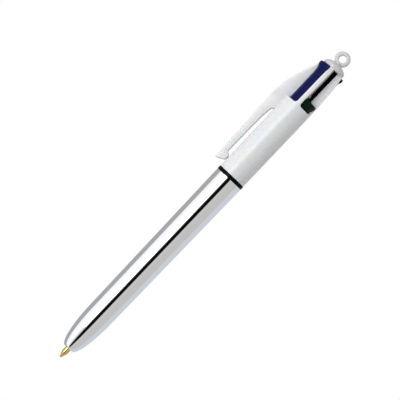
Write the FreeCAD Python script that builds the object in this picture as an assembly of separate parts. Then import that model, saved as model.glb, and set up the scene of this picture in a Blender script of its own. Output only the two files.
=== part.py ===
"""Multicolor click pen: four refills on thumb sliders in one barrel. Millimetres.

The pen is modelled about its own axis, which runs along X: s = 0 is the nose face and
s grows toward the lanyard loop. The clip stands on +Y. place() then puts every piece in
the pen's frame: lying on z = 0, rolled until the clip's edge also touches, with the
origin below the middle of the box.
"""

import FreeCAD, Part
import math
import os

V = FreeCAD.Vector
AXIS_DIR = V(1, 0, 0)

# Overall sizes
UPPER_R = 5.63
LOWER_LENGTH = 83.7
UPPER_LENGTH = 52.6
TRAVEL = 14.1
POINT_OUT = 4.4

# Upper barrel
UPPER_WALL = 0.8
SLOT_BEYOND_TRAVEL = 3.9
SLOT_LENGTH = TRAVEL + SLOT_BEYOND_TRAVEL
SLOT_TAPER = 1.05
SLOT_END_R = UPPER_R - SLOT_TAPER
SLOT_CORNER_R = 1.1
FIN_THICKNESS = 1.64
FIN_INNER_R = 2.6
FIN_RUN_IN = 2.6

# Joint ring and threaded coupler
RING_WIDTH = 1.4
RING_PROUD = 0.1
RING_R = UPPER_R + RING_PROUD
RING_EDGE = 0.2
COUPLER_COVER = 0.73
COUPLER_R = UPPER_R - COUPLER_COVER
COUPLER_WALL = 0.55
COUPLER_BELOW_JOINT = 7.7
COUPLER_ABOVE_JOINT = 5.9
GUIDE_THICKNESS = 3.0
THREAD_CLEARANCE = 0.05

# Sliders
SLIDER_DEPTH = 1.13
SLIDER_R = UPPER_R - SLIDER_DEPTH
SLIDER_BEYOND_SLOT = 3.8
SLIDER_LENGTH = SLOT_LENGTH + SLIDER_BEYOND_SLOT
SLIDER_CLEARANCE = 0.10
SLIDER_END_GAP = 0.1
BUMP_DEPTH = 0.18
BUMP_R = UPPER_R - BUMP_DEPTH
BUMP_LENGTH = 5.0
BUMP_FLANK_CLEARANCE = 0.15

# Refills: as long as the two barrels leave room for, behind the spring of one that is out
REFILL_SEAT_GAP = 0.1
SPRING_ROOM = UPPER_LENGTH - COUPLER_ABOVE_JOINT - TRAVEL - SLIDER_LENGTH - SLIDER_END_GAP
REFILL_REACH = LOWER_LENGTH + RING_WIDTH + COUPLER_ABOVE_JOINT + SPRING_ROOM
REFILL_LENGTH = REFILL_REACH + POINT_OUT - REFILL_SEAT_GAP
REFILL_INSET = 1.55
REFILL_OFFSET = SLIDER_R - REFILL_INSET
TUBE_R = 1.3
TUBE_WALL = 0.35
TUBE_BORE_R = TUBE_R - TUBE_WALL
NIPPLE_CLEARANCE = 0.15
NIPPLE_R = TUBE_BORE_R - NIPPLE_CLEARANCE
NIPPLE_LENGTH = 3.0
POINT_STEP = 0.15
POINT_R = TUBE_R - POINT_STEP
POINT_LENGTH = 9.5
POINT_SHANK_LENGTH = 4.5
BALL_R = 0.38
BALL_CLEARANCE = 0.015
INK_LENGTH = 62.0
REFILL_GAP = 0.15
TIP_OFFSET_OUT = 0.0
TIP_OFFSET_IN = TUBE_R + POINT_R + REFILL_GAP
HOLE_CLEARANCE = 0.08

# Lower barrel
NOSE_CLEARANCE = 0.2
NOSE_BORE_R = POINT_R + NOSE_CLEARANCE
NOSE_BORE_LENGTH = 0.6
NOSE_RIM = 0.45
NOSE_FACE_R = NOSE_BORE_R + NOSE_RIM
NOSE_LENGTH = 17.4
NOSE_TAPER = 0.5
NOSE_END_R = UPPER_R - NOSE_TAPER
LOWER_END_PROUD = 0.03
LOWER_END_R = UPPER_R + LOWER_END_PROUD
LOWER_WALL = 0.65

# Clip
CLIP_WIDTH = 3.0
CLIP_ROOT_EXTRA = 0.06
CLIP_ROOT_WIDTH = FIN_THICKNESS + CLIP_ROOT_EXTRA
CLIP_STAND = 4.52
CLIP_REACH = UPPER_R + CLIP_STAND
CLIP_FREE_END = 1.1
CLIP_GAP = 1.55
CLIP_NUB_CLEARANCE = 0.12

# End cap, lanyard loop and latch post
CAP_HEIGHT = 2.7
CAP_STEP = 0.1
CAP_R = SLOT_END_R - CAP_STEP
NECK_R = 1.5
LOOP_R = 2.9
LOOP_HOLE_R = 1.4
LOOP_THICKNESS = 2.0
LOOP_CENTRE_ABOVE_CAP = 5.1
KEY_THICKNESS = 0.8
KEY_LENGTH = 1.2
POST_R = 0.7
POST_HEAD_R = 1.1
POST_SHORT = 0.8
POST_LENGTH = TRAVEL - POST_SHORT

# Springs
WIRE_R = 0.15
SPRING_CLEARANCE = 0.15
SPRING_MEAN_R = TUBE_R + SPRING_CLEARANCE + WIRE_R
SPRING_TURNS = 11

# Places along the axis that follow from the sizes above
JOINT_S = LOWER_LENGTH
UPPER_S = JOINT_S + RING_WIDTH
SLOT_END_S = UPPER_S + UPPER_LENGTH
SLOT_S = SLOT_END_S - SLOT_LENGTH
LOOP_S = SLOT_END_S + LOOP_CENTRE_ABOVE_CAP
GUIDE_TOP_S = UPPER_S + COUPLER_ABOVE_JOINT
SEAT_OUT_S = REFILL_REACH
SEAT_IN_S = SEAT_OUT_S + TRAVEL
UPPER_BORE_R = UPPER_R - UPPER_WALL
SOCKET_R = COUPLER_R + THREAD_CLEARANCE
FLANK = FIN_THICKNESS / 2 + SLIDER_CLEARANCE

# Front of the thumb bump: shares of its length from the rear, and of its height
BUMP_RAMP = ((1.0, 0.0), (0.72, 0.19), (0.52, 0.44), (0.38, 0.76), (0.3, 0.947))

# Angle from the horizontal at which the ring and the clip's edge both touch the table
REST_ROLL = math.degrees(math.asin(RING_R / math.hypot(CLIP_REACH, CLIP_WIDTH / 2))
                         - math.atan2(CLIP_WIDTH / 2, CLIP_REACH))

# The refill that is clicked out comes first. Angles run from the clip toward +Z.
COLOURS = {"green": 135.0, "blue": 45.0, "black": 225.0, "red": 315.0}
COLOUR_OUT = "green"


def lathe(outline):
    """Solid of revolution about the pen axis from (s, r) points or ready-made edges."""
    edges = outline if isinstance(outline[0], Part.Edge) else polyline(outline)
    return Part.Face(Part.Wire(edges)).revolve(V(0, 0, 0), AXIS_DIR, 360)


def polyline(points):
    """Closed loop of straight edges through (s, r) points."""
    pts = [V(s, r, 0) for s, r in points]
    return [Part.makeLine(a, b) for a, b in zip(pts, pts[1:] + pts[:1])]


def chain(points):
    """Open run of straight edges through (s, r) points."""
    pts = [V(s, r, 0) for s, r in points]
    return [Part.makeLine(a, b) for a, b in zip(pts, pts[1:])]


def spline(points):
    """Smooth edge through (s, r) points."""
    curve = Part.BSplineCurve()
    curve.interpolate([V(s, r, 0) for s, r in points])
    return curve.toShape()


def cylinder(s0, s1, radius, y=0.0, z=0.0):
    """Solid cylinder along the pen axis from s0 to s1."""
    return Part.makeCylinder(radius, s1 - s0, V(s0, y, z), AXIS_DIR)


def slab(s0, s1, y0, y1, z0, z1):
    """Box between two corners."""
    return Part.makeBox(s1 - s0, y1 - y0, z1 - z0, V(s0, y0, z0))


def turned(shape, angle):
    """The shape turned about the pen axis."""
    copy = shape.copy()
    copy.rotate(V(0, 0, 0), AXIS_DIR, angle)
    return copy


def profile_arc(s0, r0, s1, r1):
    """Quarter ellipse from (s0, r0), square to the axis, to (s1, r1), along it."""
    ellipse = Part.Ellipse(V(s0, r0, 0), V(s1, r1, 0), V(s1, r0, 0))
    return Part.Arc(ellipse, 0, math.pi / 2).toShape()


def lower_barrel():
    """Metal front half: a nose that closes on the writing bore, and a slow cone."""
    inner_nose_r = NOSE_END_R - LOWER_WALL
    thread_s = JOINT_S - COUPLER_BELOW_JOINT - RING_WIDTH
    edges = chain([(0, NOSE_BORE_R), (0, NOSE_FACE_R)])
    edges.append(profile_arc(0, NOSE_FACE_R, NOSE_LENGTH, NOSE_END_R))
    edges += chain([(NOSE_LENGTH, NOSE_END_R), (JOINT_S - 0.15, LOWER_END_R),
                    (JOINT_S, LOWER_END_R - 0.15), (JOINT_S, SOCKET_R), (thread_s, SOCKET_R),
                    (NOSE_LENGTH, inner_nose_r)])
    edges.append(profile_arc(NOSE_BORE_LENGTH, NOSE_BORE_R, NOSE_LENGTH, inner_nose_r))
    edges += chain([(NOSE_BORE_LENGTH, NOSE_BORE_R), (0, NOSE_BORE_R)])
    return lathe(edges)


def joint_ring():
    """Trim ring between the two barrels."""
    s0, s1 = JOINT_S, UPPER_S
    return lathe([(s0, SOCKET_R), (s0, RING_R - RING_EDGE), (s0 + RING_EDGE, RING_R),
                  (s1 - RING_EDGE, RING_R), (s1, RING_R - RING_EDGE), (s1, SOCKET_R)])


def guide_hole():
    """Slot for one leaning refill, long enough for its whole stroke, on the +Y side."""
    hole_r = TUBE_R + HOLE_CLEARANCE
    s0, s1 = GUIDE_TOP_S - GUIDE_THICKNESS, GUIDE_TOP_S
    reach = GUIDE_TOP_S - SEAT_OUT_S - TRAVEL
    inner = REFILL_OFFSET + (REFILL_OFFSET - TIP_OFFSET_OUT) * reach / REFILL_LENGTH
    outer = REFILL_OFFSET - HOLE_CLEARANCE / 2
    hole = cylinder(s0, s1, hole_r, inner).fuse(cylinder(s0, s1, hole_r, outer))
    return hole.fuse(slab(s0, s1, inner, outer, -hole_r, hole_r))


def coupler():
    """Black insert: pressed in the upper barrel, screwed in the lower one, spring seat on top."""
    s0 = JOINT_S - COUPLER_BELOW_JOINT
    body = cylinder(s0, GUIDE_TOP_S, COUPLER_R)
    body = body.cut(cylinder(s0, GUIDE_TOP_S - GUIDE_THICKNESS, COUPLER_R - COUPLER_WALL))
    for angle in COLOURS.values():
        body = body.cut(turned(guide_hole(), angle))
    return body


def outer_profile():
    """(s, r) points of the upper barrel's outside, which tapers along the slots."""
    return [(UPPER_S, UPPER_R - 0.03), (UPPER_S + 0.5 * UPPER_LENGTH, UPPER_R),
            (SLOT_S, UPPER_R - 0.05), (SLOT_S + 0.28 * SLOT_LENGTH, UPPER_R - 0.19),
            (SLOT_S + 0.66 * SLOT_LENGTH, UPPER_R - 0.5), (SLOT_S + 0.85 * SLOT_LENGTH, UPPER_R - 0.76),
            (SLOT_END_S, SLOT_END_R)]


def clip():
    """Clip with its root along the fin on +Y, cut to its width and tapered toward the loop."""
    free_s = UPPER_S + CLIP_FREE_END
    gap_r = UPPER_R + CLIP_GAP
    nub_r = UPPER_R + CLIP_NUB_CLEARANCE
    back = CLIP_REACH
    top = spline([(free_s, back - 1.0), (free_s + 3.6, back - 0.72), (free_s + 10, back - 0.62),
                  (free_s + 20, back - 0.26), (free_s + 28.5, back), (SLOT_S, back - 0.22),
                  (SLOT_S + 0.28 * SLOT_LENGTH, back - 0.95), (SLOT_S + 0.5 * SLOT_LENGTH, back - 2.05),
                  (SLOT_S + 0.66 * SLOT_LENGTH, back - 3.0), (SLOT_S + 0.85 * SLOT_LENGTH, back - 4.35),
                  (SLOT_END_S, SLOT_END_R - 0.1)])
    root_s = UPPER_S + 0.5 * UPPER_LENGTH + 1.6
    inside_r = UPPER_R - 0.5
    rest = chain([(SLOT_END_S, SLOT_END_R - 0.1), (SLOT_END_S, SLIDER_R - 0.3), (SLOT_S, SLIDER_R + 0.4),
                  (root_s, inside_r), (root_s - 0.3, gap_r - 0.9), (root_s - 1.3, gap_r - 0.25),
                  (root_s - 3.0, gap_r - 0.05), (free_s + 4.8, gap_r + 0.2), (free_s + 4.2, gap_r - 0.15),
                  (free_s + 3.6, nub_r + 0.4), (free_s + 3.1, nub_r), (free_s + 2.4, nub_r + 0.05),
                  (free_s + 1.5, nub_r + 0.5), (free_s, back - 1.0)])
    profile = Part.Face(Part.Wire([top] + rest))
    profile.translate(V(0, 0, -CLIP_WIDTH / 2))
    bar = profile.extrude(V(0, 0, CLIP_WIDTH))
    half, root_half = CLIP_WIDTH / 2, CLIP_ROOT_WIDTH / 2
    plan = [(free_s - 1, -half + 0.25), (free_s + 1.2, -half), (SLOT_S - 4, -half),
            (SLOT_S + 1, -root_half), (SLOT_END_S + 1, -root_half)]
    plan += [(s, -z) for s, z in reversed(plan)]
    outline = Part.Face(Part.makePolygon([V(s, 0, z) for s, z in plan] + [V(plan[0][0], 0, plan[0][1])]))
    return bar.common(outline.extrude(V(0, back + 1, 0)))


def slot_cutter():
    """Tool for one thumb slot, in the quadrant between +Y and +Z, round at its front corners."""
    half = FIN_THICKNESS / 2
    cutter = slab(SLOT_S, SLOT_END_S + 1, half, 8, half, 8)
    front = [e for e in cutter.Edges if abs(e.BoundBox.XMax - SLOT_S) < 1e-6
             and (e.BoundBox.YMax < half + 1e-3 or e.BoundBox.ZMax < half + 1e-3)]
    return cutter.makeFillet(SLOT_CORNER_R, front)


def upper_barrel():
    """White rear half in one moulding: tube, four fins between the slots, and the clip."""
    outside = spline(outer_profile())
    shell = lathe([outside] + chain([(SLOT_END_S, SLOT_END_R), (SLOT_END_S, 0), (UPPER_S, 0),
                                     (UPPER_S, UPPER_R - 0.03)]))
    fin_s = SLOT_S - FIN_RUN_IN
    shell = shell.cut(cylinder(UPPER_S, GUIDE_TOP_S, COUPLER_R))
    shell = shell.cut(cylinder(GUIDE_TOP_S, fin_s, UPPER_BORE_R))
    shell = shell.cut(cylinder(fin_s, SLOT_END_S, FIN_INNER_R))
    half = FIN_THICKNESS / 2
    pocket = slab(fin_s, SLOT_S + SLOT_CORNER_R, half, 8, half, 8)
    pocket = pocket.common(cylinder(fin_s, SLOT_S + SLOT_CORNER_R, UPPER_BORE_R))
    for quarter in range(4):
        shell = shell.cut(turned(pocket, 90 * quarter)).cut(turned(slot_cutter(), 90 * quarter))
    shell = shell.fuse(clip()).removeSplitter()
    for quarter in range(4):
        shell = shell.cut(turned(cap_key(), 90 * quarter))
    return shell


def cap_key():
    """Tongue that seats the end cap in the end of one fin."""
    return slab(SLOT_END_S - KEY_LENGTH, SLOT_END_S, FIN_INNER_R + 0.4, SLOT_END_R - 0.9,
                -KEY_THICKNESS / 2, KEY_THICKNESS / 2)


def end_cap():
    """Domed cap with the lanyard loop, keyed in the fins, with a socket for the post."""
    s0, s1 = SLOT_END_S, SLOT_END_S + CAP_HEIGHT
    skirt = 0.37 * CAP_HEIGHT
    dome = [Part.Arc(V(s0 + skirt, CAP_R, 0), V(s0 + 0.6 * CAP_HEIGHT, 0.89 * CAP_R, 0),
                     V(s0 + 0.83 * CAP_HEIGHT, 0.64 * CAP_R, 0)).toShape(),
            Part.Arc(V(s0 + 0.83 * CAP_HEIGHT, 0.64 * CAP_R, 0), V(s0 + 0.91 * CAP_HEIGHT, 2.15, 0),
                     V(s1 + 0.15, NECK_R, 0)).toShape()]
    cap = lathe(chain([(s0, 0), (s0, CAP_R), (s0 + skirt, CAP_R)]) + dome
                + chain([(s1 + 0.15, NECK_R), (s1 + 0.6, NECK_R), (s1 + 0.6, 0), (s0, 0)]))
    loop = Part.makeCylinder(LOOP_R, LOOP_THICKNESS, V(LOOP_S, 0, -LOOP_THICKNESS / 2))
    rims = [e for e in loop.Edges if e.BoundBox.ZLength < 1e-6]
    loop = loop.makeFillet(0.6, rims)
    cap = cap.fuse(loop)
    cap = cap.cut(Part.makeCylinder(LOOP_HOLE_R, 2 * LOOP_THICKNESS, V(LOOP_S, 0, -LOOP_THICKNESS)))
    for quarter in range(4):
        cap = cap.fuse(turned(cap_key(), 90 * quarter))
    return cap.removeSplitter().cut(cylinder(s0, s0 + 1.0, POST_R))


def latch_post():
    """Post on the axis, with the head that a pushed slider stops under."""
    s1 = SLOT_END_S + 1.0
    s0 = SLOT_END_S - POST_LENGTH
    return lathe([(s0, 0), (s0, POST_HEAD_R - 0.2), (s0 + 0.2, POST_HEAD_R), (s0 + 0.8, POST_HEAD_R),
                  (s0 + 1.4, POST_R), (s1, POST_R), (s1, 0)])


def seat_s(colour):
    """Where the refill meets its slider: further forward for the one that is out."""
    return SEAT_OUT_S if colour == COLOUR_OUT else SEAT_IN_S


def slider(colour):
    """Quarter-round slider with its thumb bump and the nipple that holds the refill."""
    s0 = seat_s(colour)
    s1 = s0 + SLIDER_LENGTH
    body = cylinder(s0, s1, SLIDER_R).common(slab(s0, s1, FLANK, 6, FLANK, 6))
    ends = [e for e in body.Edges if e.BoundBox.XLength < 1e-6 and e.Curve.TypeId == "Part::GeomCircle"]
    body = body.makeChamfer(0.3, ends)
    rear = s1 + 0.05
    ramp = [(rear - BUMP_LENGTH - 0.2, SLIDER_R - 0.3)]
    ramp += [(rear - back * BUMP_LENGTH, SLIDER_R + rise * (BUMP_R - SLIDER_R)) for back, rise in BUMP_RAMP]
    bump = lathe(ramp + [(rear - 0.23 * BUMP_LENGTH, BUMP_R), (rear - 0.5, BUMP_R), (rear - 0.22, BUMP_R - 0.15),
                         (rear - 0.1, SLIDER_R - 0.2), (rear - 0.4, SLIDER_R - 0.5)])
    flank = FIN_THICKNESS / 2 + BUMP_FLANK_CLEARANCE
    bump = bump.common(slab(s0, rear + 1, flank, 7, flank, 7))
    body = turned(body.fuse(bump).removeSplitter(), -45)
    body = body.fuse(cylinder(s0 - NIPPLE_LENGTH, s0 + 0.5, NIPPLE_R, REFILL_OFFSET))
    return turned(body, COLOURS[colour])


def lean(shape, colour):
    """Put a refill piece, made along the axis from its ball at s = 0, in its quadrant."""
    tip_offset = TIP_OFFSET_OUT if colour == COLOUR_OUT else TIP_OFFSET_IN
    angle = math.degrees(math.asin((REFILL_OFFSET - tip_offset) / REFILL_LENGTH))
    copy = shape.copy()
    copy.translate(V(-REFILL_LENGTH, 0, 0))
    copy.rotate(V(0, 0, 0), V(0, 0, 1), angle)
    copy.translate(V(seat_s(colour) - REFILL_SEAT_GAP, REFILL_OFFSET, 0))
    return turned(copy, COLOURS[colour])


def ball():
    """Writing ball."""
    return Part.makeSphere(BALL_R, V(BALL_R, 0, 0))


def point():
    """Brass point: slender tip round the ball, flare, barrel and the shank in the tube."""
    shank_end = POINT_LENGTH + POINT_SHANK_LENGTH
    body = lathe([(0.3, 0), (0.3, 0.36), (1.5, 0.68), (2.6, POINT_R), (POINT_LENGTH, POINT_R),
                  (POINT_LENGTH, TUBE_BORE_R), (shank_end, TUBE_BORE_R), (shank_end, 0)])
    body = body.cut(Part.makeSphere(BALL_R + BALL_CLEARANCE, V(BALL_R, 0, 0)))
    return body.cut(cylinder(2 * BALL_R, shank_end, 0.25))


def tube():
    """Plastic refill tube, pressed over the point's shank."""
    bore = cylinder(POINT_LENGTH, REFILL_LENGTH, TUBE_BORE_R)
    return cylinder(POINT_LENGTH, REFILL_LENGTH, TUBE_R).cut(bore)


def ink():
    """Ink column in the tube, behind the point."""
    start = POINT_LENGTH + POINT_SHANK_LENGTH
    return cylinder(start, start + INK_LENGTH, TUBE_BORE_R)


def spring(colour):
    """Return spring round the refill, from the guide to the slider."""
    base_s = GUIDE_TOP_S + WIRE_R + 0.1
    length = seat_s(colour) - base_s - WIRE_R - 0.1
    pitch = length / SPRING_TURNS
    rise = pitch / (2 * math.pi * SPRING_MEAN_R)
    helix = Part.Wire(Part.makeHelix(pitch, length, SPRING_MEAN_R).Edges)
    section = Part.Wire(Part.makeCircle(WIRE_R, V(SPRING_MEAN_R, 0, 0), V(0, 1, rise)))
    coil = helix.makePipeShell([section], True, True)
    coil.rotate(V(0, 0, 0), V(0, 1, 0), 90)
    along_refill = REFILL_LENGTH - (seat_s(colour) - REFILL_SEAT_GAP - base_s)
    coil.translate(V(along_refill, 0, 0))
    return lean(coil, colour)


def place(shape):
    """From the pen's axis to the resting frame, with the origin below the box's middle."""
    length = POINT_OUT + LOOP_S + LOOP_R
    roll = math.radians(REST_ROLL)
    clip_out = CLIP_REACH * math.cos(roll) + CLIP_WIDTH / 2 * math.sin(roll)
    copy = turned(shape, -REST_ROLL)
    copy.translate(V(POINT_OUT - length / 2, (RING_R - clip_out) / 2, RING_R))
    return copy


def pieces():
    """Every named piece of the pen, in the pen's axis frame."""
    made = {"lower_barrel": lower_barrel(), "joint_ring": joint_ring(), "coupler": coupler(),
            "upper_barrel": upper_barrel(), "end_cap": end_cap(), "latch_post": latch_post()}
    for colour in COLOURS:
        made["slider_" + colour] = slider(colour)
        made["spring_" + colour] = spring(colour)
        made["refill_tube_" + colour] = lean(tube(), colour)
        made["ink_" + colour] = lean(ink(), colour)
        made["point_" + colour] = lean(point(), colour)
        made["ball_" + colour] = lean(ball(), colour)
    return made


os.makedirs("parts", exist_ok=True)
for node, shape in pieces().items():
    solid = place(shape)
    solid.exportStep("parts/" + node + ".step")
    print(node, solid.isValid(), len(solid.Solids), round(solid.Volume, 2))
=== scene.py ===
"""Looks of the multicolor click pen: metal front, white rear with a clip, four coloured sliders.

Lengths are in millimetres along the pen's axis, measured from the nose face, and become metres
in Axis.point(). The axis and the nose come from the frame.
"""

from __future__ import annotations

import logging
import math
from dataclasses import dataclass, field
from enum import Enum

import bmesh
import bpy
from mathutils import Matrix, Vector

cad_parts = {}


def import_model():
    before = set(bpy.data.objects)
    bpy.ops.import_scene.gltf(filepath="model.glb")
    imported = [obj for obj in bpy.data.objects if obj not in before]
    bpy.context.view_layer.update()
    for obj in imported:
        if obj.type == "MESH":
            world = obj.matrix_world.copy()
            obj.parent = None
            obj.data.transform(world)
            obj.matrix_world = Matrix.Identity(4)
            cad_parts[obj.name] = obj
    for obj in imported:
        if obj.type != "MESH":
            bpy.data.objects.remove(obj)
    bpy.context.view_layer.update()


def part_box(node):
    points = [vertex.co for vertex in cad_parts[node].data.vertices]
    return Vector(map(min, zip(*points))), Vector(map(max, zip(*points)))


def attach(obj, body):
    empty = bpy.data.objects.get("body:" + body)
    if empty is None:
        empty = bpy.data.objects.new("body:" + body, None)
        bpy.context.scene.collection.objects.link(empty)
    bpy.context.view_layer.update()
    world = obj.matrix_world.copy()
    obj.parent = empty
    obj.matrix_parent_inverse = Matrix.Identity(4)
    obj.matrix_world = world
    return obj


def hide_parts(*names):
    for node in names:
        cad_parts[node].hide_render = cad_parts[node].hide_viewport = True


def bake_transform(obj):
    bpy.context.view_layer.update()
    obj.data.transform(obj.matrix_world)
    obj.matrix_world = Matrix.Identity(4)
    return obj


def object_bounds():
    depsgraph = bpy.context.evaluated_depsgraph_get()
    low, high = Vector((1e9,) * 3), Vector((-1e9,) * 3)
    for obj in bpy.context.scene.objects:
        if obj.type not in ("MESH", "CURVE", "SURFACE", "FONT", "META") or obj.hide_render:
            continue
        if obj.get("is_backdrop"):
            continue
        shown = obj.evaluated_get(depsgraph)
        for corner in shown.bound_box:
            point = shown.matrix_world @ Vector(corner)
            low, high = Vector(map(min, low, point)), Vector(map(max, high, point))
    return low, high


LOG = logging.getLogger("pen")
MM = 0.001
SHARP_ANGLE = 32.0  # degrees past which an edge stays sharp
WELD = 0.002 * MM  # points nearer than this become one
SPRING_WELD = 0.0005 * MM
ON_PLANE = 0.001 * MM  # how near a corner lies to the plane it belongs to
CUT_GAP = 1e-9  # how near a point lies to a cutting plane to count as on it
TOOL_REACH = 8.0  # how far a cutting block reaches past the pen, in mm
WAVE_LENGTH = 0.314  # length in metres of one band of the wave texture at a scale of 1
SPREAD_DEPTH = 1.5 * MM  # how far light spreads inside white plastic
MOTTLE_SIZE = 9.0  # size in mm of the patches of colour
GLOSS_SIZE = 2.5  # size in mm of the patches of gloss
Outline = list[tuple[float, float]]


class Ink(Enum):
    """The four refills, each with the angle of its slider round the axis, from the clip."""

    GREEN = 135.0
    BLUE = 45.0
    BLACK = 225.0
    RED = 315.0

    @property
    def word(self) -> str:
        """Name of the colour, as the nodes spell it."""
        return self.name.lower()

    @property
    def body(self) -> str:
        """Body that the slider and its refill move with."""
        return self.word + "_unit"


@dataclass(frozen=True)
class Axis:
    """The pen's axis in the frame.

    Args:
        nose_x: place of the nose face, in metres.
        y: place of the axis across the pen, in metres.
        z: height of the axis, in metres.
        roll: angle in degrees that the clip points below the horizontal when the pen lies down.
    """

    nose_x: float
    y: float
    z: float
    roll: float = 25.5433

    @classmethod
    def from_frame(cls) -> "Axis":
        """Read the axis from the front barrel's box."""
        low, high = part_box("lower_barrel")
        return cls(low.x, (low.y + high.y) / 2, (low.z + high.z) / 2)

    def point(self, s: float, across: float = 0.0, up: float = 0.0) -> Vector:
        """Point s mm behind the nose face, and across and up mm from the axis."""
        return Vector((self.nose_x + s * MM, self.y + across * MM, self.z + up * MM))

    def turn(self, degrees: float) -> Matrix:
        """Rotation about the axis, from the clip's side toward up."""
        centre = self.point(0)
        spin = Matrix.Rotation(math.radians(degrees), 4, "X")
        return Matrix.Translation(centre) @ spin @ Matrix.Translation(-centre)

    def lay_down(self, piece: bpy.types.Object) -> None:
        """Roll a piece built with the clip on +Y to how the pen lies."""
        piece.data.transform(self.turn(-self.roll))


# ---------------------------------------------------------------- outlines and meshes


def arc_points(centre: tuple[float, float], half_s: float, half_r: float, start: float,
               end: float, steps: int) -> Outline:
    """Points along an elliptical arc.

    Args:
        centre: (s, r) of the ellipse's centre.
        half_s: half axis along the pen.
        half_r: half axis away from it.
        start: first angle in degrees.
        end: last angle in degrees.
        steps: number of stretches.

    Returns:
        The (s, r) points, ends included.
    """
    points = []
    for i in range(steps + 1):
        angle = math.radians(start + (end - start) * i / steps)
        points.append((centre[0] + half_s * math.cos(angle), centre[1] + half_r * math.sin(angle)))
    return points


def rounded(corners: list[tuple[float, float, float]], steps: int = 4,
            closed: bool = True) -> Outline:
    """Outline through corners, each rounded to its own radius.

    Args:
        corners: (s, r, radius) of each corner.
        steps: stretches in each rounding.
        closed: whether the last corner joins the first.

    Returns:
        The (s, r) points of the rounded outline.
    """
    outline: Outline = []
    count = len(corners)
    for i, (s, r, radius) in enumerate(corners):
        here = Vector((s, r))
        if radius <= 0 or (not closed and i in (0, count - 1)):
            outline.append((s, r))
            continue
        before = Vector(corners[i - 1][:2]) - here
        after = Vector(corners[(i + 1) % count][:2]) - here
        half_turn = before.angle(after) / 2
        cut = min(radius / math.tan(half_turn), before.length * 0.49, after.length * 0.49)
        first, last = here + before.normalized() * cut, here + after.normalized() * cut
        for k in range(steps + 1):
            t = k / steps
            bent = first * (1 - t) ** 2 + here * 2 * t * (1 - t) + last * t ** 2
            outline.append((bent.x, bent.y))
    return outline


def smooth_line(points: Outline, steps: int) -> Outline:
    """Catmull-Rom line through points.

    Args:
        points: (s, r) points to pass through.
        steps: stretches between two points.

    Returns:
        The finer line, ends included.
    """
    knots = [Vector(p) for p in points]
    padded = [knots[0] * 2 - knots[1]] + knots + [knots[-1] * 2 - knots[-2]]
    line: Outline = []
    for a, b, c, d in zip(padded, padded[1:], padded[2:], padded[3:]):
        for k in range(steps):
            t = k / steps
            p = 0.5 * (2 * b + (c - a) * t + (2 * a - 5 * b + 4 * c - d) * t ** 2
                       + (3 * b - a - 3 * c + d) * t ** 3)
            line.append((p.x, p.y))
    return line + [tuple(points[-1])]


def add_outline(bm: bmesh.types.BMesh, axis: Axis, outline: Outline, closed: bool) -> list:
    """Lay an outline out as vertices and edges on the clip's side of the axis."""
    verts = [bm.verts.new(axis.point(s, r)) for s, r in outline]
    pairs = list(zip(verts, verts[1:])) + ([(verts[-1], verts[0])] if closed else [])
    return verts + [bm.edges.new(pair) for pair in pairs]


def lathe(bm: bmesh.types.BMesh, axis: Axis, outline: Outline, closed: bool = True,
          steps: int = 128) -> None:
    """Spin an outline about the pen's axis into a bmesh.

    Args:
        bm: the mesh to add to.
        axis: the pen's axis.
        outline: (s, r) points of the section.
        closed: whether the section is a loop; an open one starts and ends on the axis.
        steps: stretches round the axis.
    """
    geometry = add_outline(bm, axis, outline, closed)
    bmesh.ops.spin(bm, geom=geometry, cent=axis.point(0), axis=(1, 0, 0), angle=math.tau,
                   steps=steps, use_merge=True, use_duplicate=False)
    bmesh.ops.remove_doubles(bm, verts=bm.verts[:], dist=WELD)


def finish_mesh(bm: bmesh.types.BMesh, name: str, sharp: float = SHARP_ANGLE) -> bpy.types.Object:
    """Turn a bmesh into an object at the origin, smooth but for its sharp edges.

    Args:
        bm: the finished bmesh, which is freed.
        name: name of the piece.
        sharp: angle in degrees past which an edge stays sharp.

    Returns:
        The new object.
    """
    bmesh.ops.recalc_face_normals(bm, faces=bm.faces[:])
    mesh = bpy.data.meshes.new(name)
    bm.to_mesh(mesh)
    bm.free()
    mesh.shade_smooth()
    mesh.set_sharp_from_angle(angle=math.radians(sharp))
    piece = bpy.data.objects.new(name, mesh)
    bpy.context.scene.collection.objects.link(piece)
    return piece


def bevel(piece: bpy.types.Object, width: float) -> None:
    """Round a piece's sharp edges with a live bevel, width in mm."""
    modifier = piece.modifiers.new("edges", "BEVEL")
    modifier.width = width * MM
    modifier.segments = 3
    modifier.limit_method = "ANGLE"
    modifier.angle_limit = math.radians(SHARP_ANGLE)
    modifier.harden_normals = True
    modifier.use_clamp_overlap = True


def apply_modifiers(piece: bpy.types.Object) -> None:
    """Bake a piece's modifiers into its mesh."""
    graph = bpy.context.evaluated_depsgraph_get()
    mesh = bpy.data.meshes.new_from_object(piece.evaluated_get(graph))
    old = piece.data
    piece.modifiers.clear()
    piece.data = mesh
    mesh.name = old.name
    bpy.data.meshes.remove(old)


def carve(piece: bpy.types.Object, tools: list[bpy.types.Object]) -> None:
    """Cut tools out of a piece and remove them."""
    for tool in tools:
        cut = piece.modifiers.new("cut", "BOOLEAN")
        cut.operation = "DIFFERENCE"
        cut.solver = "EXACT"
        cut.object = tool
    apply_modifiers(piece)
    for tool in tools:
        bpy.data.objects.remove(tool)


def slice_off(bm: bmesh.types.BMesh, point: Vector, normal: Vector) -> None:
    """Cut a closed bmesh at a plane, keep the side the normal points to, and close the cut."""
    geometry = bm.verts[:] + bm.edges[:] + bm.faces[:]
    bmesh.ops.bisect_plane(bm, geom=geometry, plane_co=point, plane_no=normal, clear_inner=True,
                           dist=CUT_GAP)
    rim = [e for e in bm.edges if e.is_boundary]
    bmesh.ops.holes_fill(bm, edges=rim, sides=0)


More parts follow.
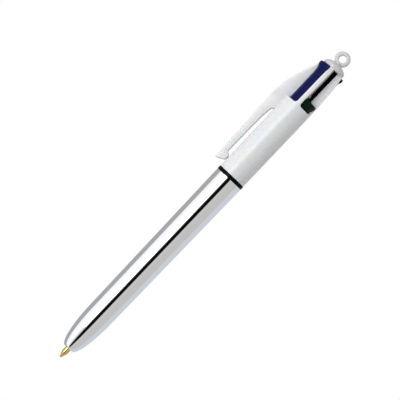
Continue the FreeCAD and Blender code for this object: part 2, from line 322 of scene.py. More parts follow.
def block(axis: Axis, low: tuple[float, float, float],
          high: tuple[float, float, float]) -> bmesh.types.BMesh:
    """Bmesh box between two corners given as (s, across, up) in mm."""
    bm = bmesh.new()
    bmesh.ops.create_cube(bm, size=1.0)
    a, b = axis.point(*low), axis.point(*high)
    bmesh.ops.scale(bm, vec=b - a, verts=bm.verts[:])
    bmesh.ops.translate(bm, vec=(a + b) / 2, verts=bm.verts[:])
    return bm


# ---------------------------------------------------------------- finishes


@dataclass(frozen=True)
class Finish:
    """Base of every finish: a Principled shader with a mottled colour and uneven gloss.

    Args:
        name: name of the material.
        colour: linear base colour.
        shift: how far the mottling changes the colour, as a share.
        roughness: mean roughness.
        uneven: how far roughness strays from its mean.
        metallic: 1 for metals.
        grain: size of the surface grain in mm.
        bump: depth of the surface grain in mm.
        transmission: share of light let through.
        specular: strength of the plain reflection, 0.5 for common plastic.
        subsurface: share of light that spreads inside, as in white plastic.
    """

    name: str
    colour: tuple[float, float, float]
    shift: float = 0.04
    roughness: float = 0.25
    uneven: float = 0.05
    metallic: float = 0.0
    grain: float = 1.2
    bump: float = 0.002
    transmission: float = 0.0
    specular: float = 0.5
    subsurface: float = 0.0

    def make(self) -> bpy.types.Material:
        """Build the material, or return the one already built."""
        known = bpy.data.materials.get(self.name)
        if known:
            return known
        material = bpy.data.materials.new(self.name)
        material.use_nodes = True
        tree = material.node_tree
        shader = tree.nodes["Principled BSDF"]
        shader.inputs["Metallic"].default_value = self.metallic
        shader.inputs["Transmission Weight"].default_value = self.transmission
        shader.inputs["Specular IOR Level"].default_value = self.specular
        shader.inputs["Subsurface Weight"].default_value = self.subsurface
        shader.inputs["Subsurface Scale"].default_value = SPREAD_DEPTH
        place = tree.nodes.new("ShaderNodeTexCoord").outputs["Object"]
        self.paint(tree, shader, place)
        return material

    def noise(self, tree: bpy.types.NodeTree, place: bpy.types.NodeSocket, size: float,
              detail: float = 4.0) -> bpy.types.NodeSocket:
        """Noise of a given size in mm over Object coordinates."""
        node = tree.nodes.new("ShaderNodeTexNoise")
        node.inputs["Scale"].default_value = 1.0 / (size * MM)
        node.inputs["Detail"].default_value = detail
        tree.links.new(place, node.inputs["Vector"])
        return node.outputs["Fac"]

    def ramp(self, tree: bpy.types.NodeTree, value: bpy.types.NodeSocket, low: float,
             high: float) -> bpy.types.NodeSocket:
        """Map a 0 to 1 value onto a range."""
        node = tree.nodes.new("ShaderNodeMapRange")
        node.inputs["To Min"].default_value = low
        node.inputs["To Max"].default_value = high
        tree.links.new(value, node.inputs["Value"])
        return node.outputs["Result"]

    def paint(self, tree: bpy.types.NodeTree, shader: bpy.types.Node,
              place: bpy.types.NodeSocket) -> None:
        """Add colour mottling, uneven gloss and grain."""
        cloud = self.noise(tree, place, MOTTLE_SIZE, 2.0)
        mix = tree.nodes.new("ShaderNodeMix")
        mix.data_type = "RGBA"
        mix.inputs["A"].default_value = (*(c * (1 - self.shift) for c in self.colour), 1)
        mix.inputs["B"].default_value = (*(min(1.0, c * (1 + self.shift)) for c in self.colour), 1)
        tree.links.new(cloud, mix.inputs["Factor"])
        tree.links.new(mix.outputs["Result"], shader.inputs["Base Color"])
        gloss = self.ramp(tree, self.noise(tree, place, GLOSS_SIZE), self.roughness - self.uneven,
                          self.roughness + self.uneven)
        tree.links.new(gloss, shader.inputs["Roughness"])
        self.add_bump(tree, shader, self.height(tree, place))

    def height(self, tree: bpy.types.NodeTree,
               place: bpy.types.NodeSocket) -> bpy.types.NodeSocket:
        """Height map of the surface, here a fine grain."""
        return self.noise(tree, place, self.grain)

    def add_bump(self, tree: bpy.types.NodeTree, shader: bpy.types.Node,
                 height: bpy.types.NodeSocket) -> None:
        """Raise the surface by a height map."""
        node = tree.nodes.new("ShaderNodeBump")
        node.inputs["Distance"].default_value = self.bump * MM
        tree.links.new(height, node.inputs["Height"])
        tree.links.new(node.outputs["Normal"], shader.inputs["Normal"])


@dataclass(frozen=True)
class TurnedMetal(Finish):
    """Metal with the fine rings that a lathe leaves round the axis.

    Args:
        ring_pitch: distance between rings in mm.
    """

    ring_pitch: float = 0.12

    def height(self, tree: bpy.types.NodeTree,
               place: bpy.types.NodeSocket) -> bpy.types.NodeSocket:
        """Height map of the rings."""
        wave = tree.nodes.new("ShaderNodeTexWave")
        wave.bands_direction = "X"
        wave.inputs["Scale"].default_value = WAVE_LENGTH / (self.ring_pitch * MM)
        wave.inputs["Distortion"].default_value = 0.6
        tree.links.new(place, wave.inputs["Vector"])
        return wave.outputs["Fac"]


WHITE = Finish("white_moulding", (0.82, 0.825, 0.84), shift=0.02, roughness=0.28, bump=0.001,
               subsurface=0.25)
# The cap is the barrel's white plastic, painted darker here as painted shade on the dome and the
# loop.
CAP_WHITE_PAINTED_SHADE = Finish("cap_moulding_painted_shade", (0.68, 0.685, 0.70), shift=0.02, roughness=0.28, bump=0.001,
                   subsurface=0.25)
POST_WHITE = Finish("post_moulding", (0.78, 0.79, 0.80), shift=0.02, roughness=0.35)
CHROME = Finish("chrome_plate", (0.93, 0.935, 0.95), shift=0.01, roughness=0.05, uneven=0.015,
                metallic=1.0, grain=0.8, bump=0.0002)
BLACK_GLOSS = Finish("black_ring", (0.001, 0.001, 0.0012), shift=0.3, roughness=0.25, bump=0.001,
                     specular=0.06)
BLACK_MATTE = Finish("black_moulding", (0.02, 0.02, 0.021), shift=0.3, roughness=0.45)
BRASS = TurnedMetal("turned_brass", (0.80, 0.55, 0.22), shift=0.08, roughness=0.22, uneven=0.06,
                    metallic=1.0, bump=0.0015)
STEEL = Finish("spring_wire", (0.62, 0.62, 0.64), shift=0.05, roughness=0.3, metallic=1.0)
BALL_STEEL = Finish("ground_ball", (0.55, 0.55, 0.57), shift=0.05, roughness=0.12, uneven=0.04,
                    metallic=1.0)
TUBE_PLASTIC = Finish("refill_tube", (0.88, 0.9, 0.88), shift=0.03, roughness=0.3, transmission=0.7)
SLIDER_FINISH = {
    # The green slider is painted far darker than its real bright green, as painted shade for where
    # it sits deep in its slot.
    Ink.GREEN: Finish("green_slider", (0.002, 0.012, 0.006), shift=0.2, roughness=0.35,
                      specular=0.1),
    Ink.BLUE: Finish("blue_slider", (0.003, 0.006, 0.075), shift=0.15, roughness=0.35,
                     specular=0.08),
    Ink.BLACK: Finish("black_slider", (0.002, 0.002, 0.0025), shift=0.25, roughness=0.35,
                      specular=0.08),
    Ink.RED: Finish("red_slider", (0.42, 0.012, 0.018), shift=0.12, roughness=0.35, specular=0.1),
}
INK_FINISH = {
    Ink.GREEN: Finish("green_ink", (0.0, 0.12, 0.05), shift=0.2, roughness=0.15),
    Ink.BLUE: Finish("blue_ink", (0.005, 0.01, 0.25), shift=0.2, roughness=0.15),
    Ink.BLACK: Finish("black_ink", (0.004, 0.004, 0.005), shift=0.2, roughness=0.15),
    Ink.RED: Finish("red_ink", (0.45, 0.005, 0.01), shift=0.2, roughness=0.15),
}


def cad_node(name: str) -> bpy.types.Object:
    """CAD node of the frame, by name."""
    return bpy.data.objects[name]


def dress(piece: bpy.types.Object, finish: Finish) -> None:
    """Put one finish on a piece, in place of what it has."""
    piece.data.materials.clear()
    piece.data.materials.append(finish.make())


def settle(piece: bpy.types.Object, body: str, slot: str, finish: Finish, *nodes: str) -> None:
    """Dress a piece, ride it on a body, and let it stand for CAD nodes.

    Args:
        piece: the finished piece.
        body: body it moves with.
        slot: material slot of the record; not used.
        finish: what it is made of.
        nodes: nodes it replaces.
    """
    dress(piece, finish)
    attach(piece, body)
    if nodes:
        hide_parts(*nodes)
    LOG.info("%s on %s", piece.name, body)


# ---------------------------------------------------------------- sub-assemblies


@dataclass
class FrontBarrel:
    """Chromed front half: an elliptical nose, a slow cone and the bore for the coupler."""

    axis: Axis
    length: float = 83.7
    nose_length: float = 17.4
    nose_face_r: float = 1.8
    nose_end_r: float = 5.13
    end_r: float = 5.66
    wall: float = 0.65
    bore_r: float = 1.35
    bore_length: float = 0.6
    socket_r: float = 4.95
    socket_s: float = 74.6
    edge_r: float = 0.15

    def outline(self) -> Outline:
        """Section from the nose bore over the outside and back along the inside."""
        outside = arc_points((self.nose_length, self.nose_face_r), self.nose_length,
                             self.nose_end_r - self.nose_face_r, 180, 90, 40)
        inner_r = self.nose_end_r - self.wall
        inside = arc_points((self.nose_length, self.bore_r), self.nose_length - self.bore_length,
                            inner_r - self.bore_r, 90, 180, 20)
        rear = rounded([(self.nose_length, self.nose_end_r, 0),
                        (self.length, self.end_r, self.edge_r),
                        (self.length, self.socket_r, self.edge_r / 2),
                        (self.socket_s, self.socket_r, 0)], closed=False)
        lip = rounded([(self.bore_length, self.bore_r, 0), (0, self.bore_r, 0.08),
                       (0, self.nose_face_r, 0)], closed=False)
        return lip[1:] + outside[1:] + rear[1:] + inside[:-1] + lip[:1]

    def build(self) -> None:
        """Make the barrel in place of its node."""
        bm = bmesh.new()
        lathe(bm, self.axis, self.outline(), steps=160)
        piece = finish_mesh(bm, "front_barrel")
        self.axis.lay_down(piece)
        settle(piece, "front", "lower_barrel", CHROME, "lower_barrel")


@dataclass
class JointRing:
    """Black trim ring between the barrels."""

    axis: Axis
    start: float = 83.7
    width: float = 1.4
    inner_r: float = 4.95
    outer_r: float = 5.73
    edge_r: float = 0.25

    def build(self) -> None:
        """Make the ring in place of its node."""
        end = self.start + self.width
        corners = [(self.start, self.inner_r, 0.05), (self.start, self.outer_r, self.edge_r),
                   (end, self.outer_r, self.edge_r), (end, self.inner_r, 0.05)]
        bm = bmesh.new()
        lathe(bm, self.axis, rounded(corners))
        piece = finish_mesh(bm, "joint_ring_trim")
        self.axis.lay_down(piece)
        settle(piece, "ring", "joint_ring", BLACK_GLOSS, "joint_ring")


@dataclass
class RearBarrel:
    """White rear half: tube, four fins between the thumb slots, and the moulded clip."""

    axis: Axis
    start: float = 85.1
    length: float = 52.6
    outer_r: float = 5.63
    bore_r: float = 4.83
    coupler_r: float = 4.9
    coupler_end: float = 91.0
    slot_length: float = 18.0
    slot_end_r: float = 4.58
    fin_thickness: float = 1.64
    fin_inner_r: float = 2.6
    fin_run_in: float = 2.6
    slot_corner_r: float = 1.1
    clip_width: float = 3.0
    clip_root_width: float = 1.7
    clip_reach: float = 10.15
    clip_gap: float = 1.55
    clip_edge_r: float = 0.22
    pinch_before: float = 4.0
    pinch_after: float = 1.0
    pinch_steps: int = 8
    edge_r: float = 0.14

    @property
    def end(self) -> float:
        """Rear face."""
        return self.start + self.length

    @property
    def slot_start(self) -> float:
        """Front end of the thumb slots."""
        return self.end - self.slot_length

    def outside(self) -> Outline:
        """Points of the outside, which tapers along the slots."""
        knots = [(0.0, 0.05), (0.28, 0.19), (0.66, 0.5), (0.85, 0.76),
                 (1.0, self.outer_r - self.slot_end_r)]
        points = [(self.start, self.outer_r - 0.03), (self.start + self.length / 2, self.outer_r)]
        taper = [(self.slot_start + share * self.slot_length, self.outer_r - drop)
                 for share, drop in knots]
        return smooth_line(points + taper, 5)

    def tube(self) -> bpy.types.Object:
        """Turned shell, bored for the coupler, the springs and the sliders."""
        fin_s = self.slot_start - self.fin_run_in
        outline = self.outside() + [(self.end, self.fin_inner_r), (fin_s, self.fin_inner_r),
                                    (fin_s, self.bore_r), (self.coupler_end, self.bore_r),
                                    (self.coupler_end, self.coupler_r),
                                    (self.start, self.coupler_r)]
        bm = bmesh.new()
        lathe(bm, self.axis, outline, steps=128)
        return finish_mesh(bm, "rear_barrel")

    def slot_tool(self, angle: float) -> bpy.types.Object:
        """Block that opens one thumb slot, rounded at the corners of its front end."""
        half = self.fin_thickness / 2
        bm = block(self.axis, (self.slot_start, half, half),
                   (self.end + 1, TOOL_REACH, TOOL_REACH))
        flank_y, flank_z = self.axis.point(0, half).y, self.axis.point(0, 0, half).z
        front_x = self.axis.point(self.slot_start).x
        front = [e for e in bm.edges if all(abs(v.co.x - front_x) < ON_PLANE for v in e.verts)
                 and (all(abs(v.co.y - flank_y) < ON_PLANE for v in e.verts)
                      or all(abs(v.co.z - flank_z) < ON_PLANE for v in e.verts))]
        bmesh.ops.bevel(bm, geom=front, offset=self.slot_corner_r * MM, segments=6, affect="EDGES",
                        profile=0.5, material=-1)
        bmesh.ops.transform(bm, matrix=self.axis.turn(angle), verts=bm.verts[:])
        return finish_mesh(bm, "slot_tool")

    def pocket_tool(self, angle: float) -> bpy.types.Object:
        """Quarter plug that lets a slider pass in front of its slot."""
        half = self.fin_thickness / 2
        fin_s = self.slot_start - self.fin_run_in - 0.1
        stop = self.slot_start + self.slot_corner_r
        bm = bmesh.new()
        lathe(bm, self.axis, [(fin_s, 0.0), (fin_s, self.bore_r), (stop, self.bore_r), (stop, 0.0)],
              closed=False, steps=128)
        for normal in ((0, 1, 0), (0, 0, 1)):
            slice_off(bm, self.axis.point(0, half, half), Vector(normal))
        bmesh.ops.transform(bm, matrix=self.axis.turn(angle), verts=bm.verts[:])
        return finish_mesh(bm, "pocket_tool")

    def build(self) -> None:
        """Make the barrel and the clip in place of their node."""
        barrel = self.tube()
        carve(barrel, [tool(90.0 * i) for i in range(4)
                       for tool in (self.pocket_tool, self.slot_tool)])
        barrel.data.set_sharp_from_angle(angle=math.radians(SHARP_ANGLE))
        bevel(barrel, self.edge_r)
        clip = self.clip()
        for piece in (barrel, clip):
            self.axis.lay_down(piece)
        settle(barrel, "pen_body", "upper_barrel", WHITE, "upper_barrel")
        settle(clip, "pen_body", "upper_barrel", WHITE)

    def clip_outline(self) -> Outline:
        """Side view of the clip: back, free end with its nub, inside, and root."""
        free, reach = self.start + 1.1, self.clip_reach
        back = smooth_line([(free, reach - 1.0), (free + 3.6, reach - 0.72),
                            (free + 10, reach - 0.62), (free + 20, reach - 0.26),
                            (free + 28.5, reach), (self.slot_start, reach - 0.22),
                            (self.slot_start + 0.28 * self.slot_length, reach - 0.95),
                            (self.slot_start + 0.5 * self.slot_length, reach - 2.05),
                            (self.slot_start + 0.66 * self.slot_length, reach - 3.0),
                            (self.slot_start + 0.85 * self.slot_length, reach - 4.35),
                            (self.end, self.slot_end_r - 0.1)], 5)
        root = self.start + self.length / 2 + 1.6
        gap_r, nub_r = self.outer_r + self.clip_gap, self.outer_r + 0.12
        under = rounded([(self.end, self.outer_r - 1.43, 0),
                         (self.slot_start, self.outer_r - 0.73, 0),
                         (root + 0.5, self.outer_r - 0.5, 0), (root - 0.3, self.outer_r + 0.9, 0.6),
                         (root - 1.6, gap_r - 0.35, 1.0), (root - 6.0, gap_r, 2.0),
                         (free + 4.6, gap_r + 0.2, 0.8), (free + 3.5, nub_r + 0.25, 0.5),
                         (free + 2.7, nub_r, 0.5), (free + 1.4, nub_r + 0.4, 0.6),
                         (free, reach - 1.0, 0)], closed=False)
        return back[:-1] + [(self.end, self.slot_end_r - 0.1)] + under[:-1]

    def clip(self) -> bpy.types.Object:
        """Bar extruded to its width and pinched where it runs between two slots."""
        bm = bmesh.new()
        face = bm.faces.new([bm.verts.new(self.axis.point(s, r, -self.clip_width / 2))
                             for s, r in self.clip_outline()])
        raised = bmesh.ops.extrude_face_region(bm, geom=[face])
        top = [v for v in raised["geom"] if isinstance(v, bmesh.types.BMVert)]
        bmesh.ops.translate(bm, vec=(0, 0, self.clip_width * MM), verts=top)
        pinch_from = self.slot_start - self.pinch_before
        pinch_to = self.slot_start + self.pinch_after
        for i in range(self.pinch_steps + 1):
            cut = self.axis.point(pinch_from + (pinch_to - pinch_from) * i / self.pinch_steps)
            bmesh.ops.bisect_plane(bm, geom=bm.verts[:] + bm.edges[:] + bm.faces[:], plane_co=cut,
                                   plane_no=Vector((1, 0, 0)), dist=CUT_GAP)
        for vert in bm.verts:
            s = (vert.co.x - self.axis.nose_x) / MM
            share = min(1.0, max(0.0, (s - pinch_from) / (pinch_to - pinch_from)))
            share = share * share * (3 - 2 * share)
            width = self.clip_width + (self.clip_root_width - self.clip_width) * share
            vert.co.z = self.axis.z + math.copysign(width / 2 * MM, vert.co.z - self.axis.z)
        rims = [e for e in bm.edges if abs(e.verts[0].co.z - e.verts[1].co.z) < 0.2 * MM]
        bmesh.ops.bevel(bm, geom=rims, offset=self.clip_edge_r * MM, segments=4, affect="EDGES",
                        profile=0.5, material=-1, clamp_overlap=True)
        return finish_mesh(bm, "pocket_clip", sharp=40)


@dataclass
class EndCap:
    """Domed cap with the lanyard loop."""

    axis: Axis
    start: float = 137.7
    base_r: float = 4.48
    height: float = 2.7
    neck_r: float = 1.5
    loop_r: float = 2.9
    hole_r: float = 1.4
    loop_thickness: float = 2.0
    loop_above: float = 5.1
    loop_edge: float = 0.95
    skirt: float = 1.0

    def dome(self) -> Outline:
        """Section of the dome and the neck, from the axis out and back."""
        s, h, r = self.start, self.height, self.base_r
        side = smooth_line([(s + self.skirt, r), (s + 0.6 * h, 0.89 * r), (s + 0.83 * h, 0.64 * r),
                            (s + 0.91 * h, 2.15), (s + h + 0.15, self.neck_r)], 6)
        foot = rounded([(s, 0, 0), (s, r, 0.1), (s + self.skirt, r, 0)], closed=False)
        return foot[:-1] + side + [(s + h + 0.6, self.neck_r), (s + h + 0.6, 0)]

    def build(self) -> None:
        """Make the cap in place of its node."""
        bm = bmesh.new()
        lathe(bm, self.axis, self.dome(), closed=False, steps=96)
        centre = self.axis.point(self.start + self.loop_above)
        half, edge = self.loop_thickness / 2, self.loop_edge
        corners = [(self.hole_r, -half, 0.3), (self.loop_r, -half, edge), (self.loop_r, half, edge),
                   (self.hole_r, half, 0.3)]
        ring = [bm.verts.new(centre + Vector((r * MM, 0, up * MM)))
                for r, up in rounded(corners, 5)]
        edges = [bm.edges.new(pair) for pair in zip(ring, ring[1:] + ring[:1])]
        bmesh.ops.spin(bm, geom=ring + edges, cent=centre, axis=(0, 0, 1), angle=math.tau, steps=72,
                       use_merge=True, use_duplicate=False)
        piece = finish_mesh(bm, "cap_and_loop")
        self.axis.lay_down(piece)
        # The cap wears the darker white that paints its shade.
        settle(piece, "pen_body", "end_cap", CAP_WHITE_PAINTED_SHADE, "end_cap")


@dataclass
class Slider:
    """One thumb slider: quarter-round body and the bump that the thumb pushes."""

    axis: Axis
    ink: Ink
    length: float = 21.8
    body_r: float = 4.5
    flank: float = 0.92
    bump_flank: float = 0.97
    bump_r: float = 5.45
    bump_length: float = 5.2
    ramp: tuple[tuple[float, float], ...] = ((5.2, -0.3), (5.0, 0.0), (3.6, 0.18), (2.6, 0.42),
                                             (1.9, 0.72), (1.5, 0.89), (1.15, 0.95))
    nipple_r: float = 0.8
    nipple_length: float = 3.0
    offset: float = 2.95
    edge_r: float = 0.16

    def seat(self) -> float:
        """Where the body starts, from its node's box."""
        low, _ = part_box("slider_" + self.ink.word)
        return (low.x - self.axis.nose_x) / MM + self.nipple_length

    def quarter(self, outline: Outline, flank: float) -> bmesh.types.BMesh:
        """Turned outline cut down to the quadrant between two flanks."""
        bm = bmesh.new()
        lathe(bm, self.axis, outline, closed=False, steps=128)
        for normal in ((0, 1, 0), (0, 0, 1)):
            slice_off(bm, self.axis.point(0, flank, flank), Vector(normal))
        return bm

    def build(self) -> None:
        """Make the slider in place of its node."""
        start = self.seat()
        end = start + self.length
        body = rounded([(start, 0, 0), (start, self.body_r, 0.35), (end, self.body_r, 0.3),
                        (end, 0, 0)], closed=False)
        rear = end + 0.05
        ramp = smooth_line([(rear - back, self.body_r + rise) for back, rise in self.ramp], 4)
        back = rounded([(rear - 1.15, self.bump_r, 0), (rear - 0.3, self.bump_r, 0.35),
                        (rear - 0.02, self.body_r - 0.3, 0), (rear - 0.02, 2.0, 0),
                        (rear - 0.6, 0, 0)], closed=False)
        bump = [(rear - self.bump_length, 0.0)] + ramp + back[1:]
        bm = self.quarter(body, self.flank)
        other = self.quarter(bump, self.bump_flank)
        spare = bpy.data.meshes.new("bump")
        other.to_mesh(spare)
        other.free()
        bm.from_mesh(spare)
        bpy.data.meshes.remove(spare)
        bmesh.ops.transform(bm, matrix=self.axis.turn(self.ink.value - 45.0), verts=bm.verts[:])
        add_nipple(bm, self.axis, start, self.nipple_length, self.nipple_r, self.offset, self.ink)
        piece = finish_mesh(bm, self.ink.word + "_slider")
        self.axis.lay_down(piece)
        bevel(piece, self.edge_r)
        settle(piece, self.ink.body, "slider_" + self.ink.word, SLIDER_FINISH[self.ink],
               "slider_" + self.ink.word)


def add_nipple(bm: bmesh.types.BMesh, axis: Axis, start: float, length: float, radius: float,
               offset: float, ink: Ink) -> None:
    """Add the peg in front of a slider that plugs into its refill.

    Args:
        bm: the slider's mesh.
        axis: the pen's axis.
        start: front face of the slider.
        length: how far the peg stands out.
        radius: radius of the peg.
        offset: distance of the peg from the axis.
        ink: which slider this is.
    """
    centre = axis.turn(ink.value) @ axis.point(start - length / 2 + 0.2, offset)
    place = Matrix.Translation(centre) @ Matrix.Rotation(math.pi / 2, 4, "Y")
    bmesh.ops.create_cone(bm, cap_ends=True, segments=32, radius1=radius * MM, radius2=radius * MM,
                          depth=(length + 0.4) * MM, matrix=place)


@dataclass
class Point:
    """Brass writing point, which leans with its refill."""

    axis: Axis
    ink: Ink
    barrel_r: float = 1.15
    length: float = 9.5
    shank_r: float = 0.95
    shank_length: float = 4.5
    refill_length: float = 106.0
    offset: float = 2.95
    ball_r: float = 0.38
    tip_offset_in: float = 2.6

    def outline(self) -> Outline:
        """Section along the point, from the rim round the ball to the end of the shank."""
        seat = rounded([(0.62, 0.0, 0), (0.42, 0.33, 0), (0.28, 0.34, 0), (0.24, 0.42, 0)],
                       closed=False)
        body = rounded([(0.24, 0.42, 0), (1.3, 0.72, 0.3), (2.3, self.barrel_r, 0.8),
                        (7.9, self.barrel_r, 0.05), (8.0, self.barrel_r - 0.08, 0.05),
                        (8.2, self.barrel_r - 0.08, 0.05), (8.3, self.barrel_r, 0.05),
                        (self.length, self.barrel_r, 0.08), (self.length, self.shank_r, 0),
                        (self.length + self.shank_length, self.shank_r, 0.2),
                        (self.length + self.shank_length, 0, 0)], closed=False)
        return seat[:-1] + body

    def build(self) -> None:
        """Make the point in place of its node."""
        word = self.ink.word
        tip_offset = 0.0 if self.ink is Ink.GREEN else self.tip_offset_in
        lean = math.asin((self.offset - tip_offset) / self.refill_length)
        low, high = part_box("ball_" + word)
        bm = bmesh.new()
        lathe(bm, Axis(0.0, 0.0, 0.0), self.outline(), closed=False, steps=64)
        ball_back = Matrix.Translation((-self.ball_r * MM, 0, 0))
        bmesh.ops.transform(bm, matrix=ball_back, verts=bm.verts[:])
        bmesh.ops.transform(bm, matrix=Matrix.Rotation(lean, 4, "Z"), verts=bm.verts[:])
        turn = Matrix.Rotation(math.radians(self.ink.value - self.axis.roll), 4, "X")
        place = Matrix.Translation((low + high) / 2) @ turn
        bmesh.ops.transform(bm, matrix=place, verts=bm.verts[:])
        settle(finish_mesh(bm, word + "_point"), self.ink.body, "points", BRASS, "point_" + word)


@dataclass
class Coupler:
    """Black insert: the coarse thread that the front barrel screws on, and the refill guide."""

    axis: Axis
    start: float = 76.0
    end: float = 91.0
    outer_r: float = 4.9
    root_r: float = 4.72
    inner_r: float = 4.35
    guide_start: float = 88.0
    thread_pitch: float = 1.25
    thread_end: float = 82.9
    joint: float = 83.7
    hole_r: float = 1.43
    hole_inner: float = 2.26
    hole_outer: float = 2.91

    def outline(self) -> Outline:
        """Section with the thread's ridges as rings, one per turn, from the guide's face round."""
        outside: Outline = [(self.start, self.root_r - 0.1)]
        s = self.start + 0.4
        while s + self.thread_pitch < self.thread_end:
            outside += [(s, self.root_r), (s + 0.3, self.outer_r), (s + 0.55, self.outer_r),
                        (s + 0.85, self.root_r)]
            s += self.thread_pitch
        outside += [(self.joint - 0.5, self.root_r), (self.joint - 0.3, self.outer_r),
                    (self.end - 0.3, self.outer_r), (self.end, self.outer_r - 0.3), (self.end, 0.0)]
        return [(self.guide_start, 0.0), (self.guide_start, self.inner_r),
                (self.start, self.inner_r)] + outside

    def hole_tool(self, ink: Ink) -> bpy.types.Object:
        """Prism that opens the guide for one refill, longer outward to let it lean."""
        rim = arc_points((self.hole_outer, 0.0), self.hole_r, self.hole_r, -90, 90, 12)
        rim += arc_points((self.hole_inner, 0.0), self.hole_r, self.hole_r, 90, 270, 12)
        bm = bmesh.new()
        face = bm.faces.new([bm.verts.new(self.axis.point(self.guide_start - 0.5, out, side))
                             for out, side in rim])
        raised = bmesh.ops.extrude_face_region(bm, geom=[face])
        far = [v for v in raised["geom"] if isinstance(v, bmesh.types.BMVert)]
        bmesh.ops.translate(bm, vec=((self.end - self.guide_start + 1.0) * MM, 0, 0), verts=far)
        bmesh.ops.transform(bm, matrix=self.axis.turn(ink.value), verts=bm.verts[:])
        return finish_mesh(bm, "hole_tool")

    def build(self) -> None:
        """Make the coupler in place of its node."""
        bm = bmesh.new()
        lathe(bm, self.axis, self.outline(), closed=False, steps=96)
        piece = finish_mesh(bm, "threaded_coupler")
        carve(piece, [self.hole_tool(ink) for ink in Ink])
        piece.data.set_sharp_from_angle(angle=math.radians(SHARP_ANGLE))
        self.axis.lay_down(piece)
        settle(piece, "pen_body", "coupler", BLACK_MATTE, "coupler")


@dataclass
class ReturnSpring:
    """Return spring between the guide and its slider."""

    ink: Ink

    def build(self) -> None:
        """Make the spring in place of its node, as a welded copy of its mesh."""
        node = "spring_" + self.ink.word
        bm = bmesh.new()
        bm.from_mesh(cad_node(node).data)
        bmesh.ops.remove_doubles(bm, verts=bm.verts[:], dist=SPRING_WELD)
        piece = finish_mesh(bm, self.ink.word + "_return_spring", sharp=60.0)
        dress(piece, STEEL)
        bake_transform(piece)
        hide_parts(node)
        LOG.info("%s between pen_body and %s", piece.name, self.ink.body)


def dress_nodes() -> None:
    """Give every node that stays its finish."""
    for ink in Ink:
        dress(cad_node("refill_tube_" + ink.word), TUBE_PLASTIC)
        dress(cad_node("ink_" + ink.word), INK_FINISH[ink])
        dress(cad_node("ball_" + ink.word), BALL_STEEL)
    dress(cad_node("latch_post"), POST_WHITE)


# ---------------------------------------------------------------- studio


def add_range(tree: bpy.types.NodeTree, value: bpy.types.NodeSocket, low: float,
              high: float) -> bpy.types.NodeSocket:
    """Map low to high onto 0 to 1."""
    node = tree.nodes.new("ShaderNodeMapRange")
    node.inputs["From Min"].default_value = low
    node.inputs["From Max"].default_value = high
    tree.links.new(value, node.inputs["Value"])
    return node.outputs["Result"]


def add_ramp(tree: bpy.types.NodeTree, value: bpy.types.NodeSocket,
             stops: list[tuple[float, tuple[float, float, float]]]) -> bpy.types.NodeSocket:
    """Colour ramp with the given stops, in order from 0 to 1."""
    node = tree.nodes.new("ShaderNodeValToRGB")
    elements = node.color_ramp.elements
    for place, _ in stops[1:-1]:
        elements.new(place)
    for element, (_, colour) in zip(elements, stops):
        element.color = (*colour, 1)
    tree.links.new(value, node.inputs["Fac"])
    return node.outputs["Color"]


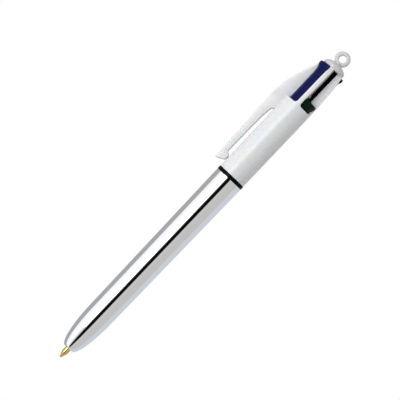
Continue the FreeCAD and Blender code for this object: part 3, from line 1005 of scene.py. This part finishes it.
@dataclass
class Studio:
    """Floor, light all round and the camera.

    The light is a sky in bands that run along the pen, so the bright, grey and dark bands
    that the chrome shows are the room's own.
    """

    axis: Axis
    lean: float = -17.6
    turn: float = 46.46
    distance: float = 797.0
    lens: float = 200.0
    beside_centre: float = 1.47
    below_centre: float = 1.9
    floor_size: float = 4.0
    key_place: tuple[float, float, float] = (0.0, 0.57, 0.48)
    key_size: tuple[float, float] = (0.5, 0.35)
    key_power: float = 2.0
    bands: list[tuple[float, tuple[float, float, float]]] = field(default_factory=lambda: [
        (-180, (0.63, 0.66, 0.70)), (-92, (0.63, 0.66, 0.70)), (-82, (0.56, 0.555, 0.54)),
        (-40, (0.56, 0.555, 0.545)), (-15, (0.62, 0.61, 0.60)), (-10, (0.002, 0.002, 0.002)),
        (10, (0.002, 0.002, 0.002)), (14, (0.3, 0.3, 0.3)), (24, (0.8, 0.8, 0.8)),
        (36, (1.05, 1.05, 1.05)), (122, (1.05, 1.05, 1.05)), (128, (0.4, 0.4, 0.42)),
        (180, (0.4, 0.4, 0.42))])
    floor_bands: list[tuple[float, tuple[float, float, float]]] = field(default_factory=lambda: [
        (-30, (0.62, 0.65, 0.70)), (-6, (0.60, 0.63, 0.68)), (2, (0.40, 0.41, 0.43)),
        (22, (0.40, 0.41, 0.43)), (30, (0.95, 0.95, 0.95)), (60, (1.0, 1.0, 1.0))])

    def floor(self) -> None:
        """Floor: white to the eye, in bands along the pen for its reflections and light."""
        bm = bmesh.new()
        bmesh.ops.create_grid(bm, x_segments=1, y_segments=1, size=self.floor_size / 2)
        piece = finish_mesh(bm, "studio_floor")
        material = bpy.data.materials.new("studio_floor")
        material.use_nodes = True
        tree = material.node_tree
        tree.nodes.clear()
        out = tree.nodes.new("ShaderNodeOutputMaterial")
        eye, rest = tree.nodes.new("ShaderNodeEmission"), tree.nodes.new("ShaderNodeEmission")
        mix = tree.nodes.new("ShaderNodeMixShader")
        eye.inputs["Strength"].default_value = 1.0
        place = tree.nodes.new("ShaderNodeTexCoord").outputs["Object"]
        parts = tree.nodes.new("ShaderNodeSeparateXYZ")
        tree.links.new(place, parts.inputs[0])
        first, last = self.floor_bands[0][0], self.floor_bands[-1][0]
        share = add_range(tree, parts.outputs["Y"], self.axis.y + first * MM,
                          self.axis.y + last * MM)
        stops = [((across - first) / (last - first), colour) for across, colour in self.floor_bands]
        tree.links.new(add_ramp(tree, share, stops), rest.inputs["Color"])
        path = tree.nodes.new("ShaderNodeLightPath")
        tree.links.new(path.outputs["Is Camera Ray"], mix.inputs["Fac"])
        tree.links.new(rest.outputs[0], mix.inputs[1])
        tree.links.new(eye.outputs[0], mix.inputs[2])
        tree.links.new(mix.outputs[0], out.inputs["Surface"])
        piece.data.materials.append(material)
        piece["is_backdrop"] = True

    def sky(self) -> None:
        """World whose brightness depends on the angle round the pen's axis."""
        world = bpy.data.worlds.new("studio")
        bpy.context.scene.world = world
        world.use_nodes = True
        tree = world.node_tree
        background = tree.nodes["Background"]
        place = tree.nodes.new("ShaderNodeTexCoord").outputs["Generated"]
        turned = tree.nodes.new("ShaderNodeVectorRotate")
        turned.rotation_type = "X_AXIS"
        turned.inputs["Angle"].default_value = -math.radians(self.lean)
        tree.links.new(place, turned.inputs["Vector"])
        parts = tree.nodes.new("ShaderNodeSeparateXYZ")
        tree.links.new(turned.outputs[0], parts.inputs[0])
        angle = tree.nodes.new("ShaderNodeMath")
        angle.operation = "ARCTAN2"
        tree.links.new(parts.outputs["Y"], angle.inputs[0])
        tree.links.new(parts.outputs["Z"], angle.inputs[1])
        share = add_range(tree, angle.outputs[0], -math.pi, math.pi)
        stops = [((degrees + 180) / 360, colour) for degrees, colour in self.bands]
        tree.links.new(add_ramp(tree, share, stops), background.inputs["Color"])
        plain = tree.nodes.new("ShaderNodeBackground")
        mix = tree.nodes.new("ShaderNodeMixShader")
        path = tree.nodes.new("ShaderNodeLightPath")
        plain.inputs["Color"].default_value = (1, 1, 1, 1)
        tree.links.new(path.outputs["Is Camera Ray"], mix.inputs["Fac"])
        tree.links.new(background.outputs[0], mix.inputs[1])
        tree.links.new(plain.outputs[0], mix.inputs[2])
        tree.links.new(mix.outputs[0], tree.nodes["World Output"].inputs["Surface"])

    def camera(self) -> None:
        """Camera above the pen, leaning away from the clip, with the pen across its diagonal."""
        lean, turn = math.radians(self.lean), math.radians(self.turn)
        along, across = Vector((1, 0, 0)), Vector((0, math.cos(lean), math.sin(lean)))
        right = along * math.cos(turn) - across * math.sin(turn)
        up = along * math.sin(turn) + across * math.cos(turn)
        back = right.cross(up)
        data = bpy.data.cameras.new("camera")
        data.lens, data.sensor_width = self.lens, 36.0
        low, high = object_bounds()
        target = Vector(((low.x + high.x) / 2, self.axis.y, self.axis.z))
        target += (up * self.below_centre - right * self.beside_centre) * MM
        camera = bpy.data.objects.new("camera", data)
        camera.matrix_world = Matrix.Translation(target + back * self.distance * MM) @ Matrix(
            (right, up, back)).transposed().to_4x4()
        bpy.context.scene.collection.objects.link(camera)
        bpy.context.scene.camera = camera

    def key_light(self) -> None:
        """Soft light from the clip's side."""
        data = bpy.data.lights.new("key", "AREA")
        data.shape, data.energy = "RECTANGLE", self.key_power
        data.size, data.size_y = self.key_size
        light = bpy.data.objects.new("key", data)
        place = Vector(self.key_place)
        facing = place.to_track_quat("Z", "Y").to_matrix().to_4x4()
        light.matrix_world = Matrix.Translation(place) @ facing
        bpy.context.scene.collection.objects.link(light)

    def build(self) -> None:
        """Set the stage."""
        scene = bpy.context.scene
        scene.view_settings.view_transform = "Standard"
        scene.view_settings.look = "None"
        self.floor()
        self.sky()
        self.key_light()
        self.camera()


def corners(box: tuple[Vector, Vector]) -> list[list[float]]:
    """A box's two corners as plain lists."""
    return [list(corner) for corner in box]


def main() -> None:
    """Load the frame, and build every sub-assembly in order."""
    logging.basicConfig(level=logging.INFO, format="%(name)s: %(message)s")
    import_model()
    axis = Axis.from_frame()
    FrontBarrel(axis).build()
    JointRing(axis).build()
    RearBarrel(axis).build()
    EndCap(axis).build()
    Coupler(axis).build()
    for ink in Ink:
        Slider(axis, ink).build()
        Point(axis, ink).build()
        ReturnSpring(ink).build()
    dress_nodes()
    Studio(axis).build()


if __name__ == "__main__":
    main()
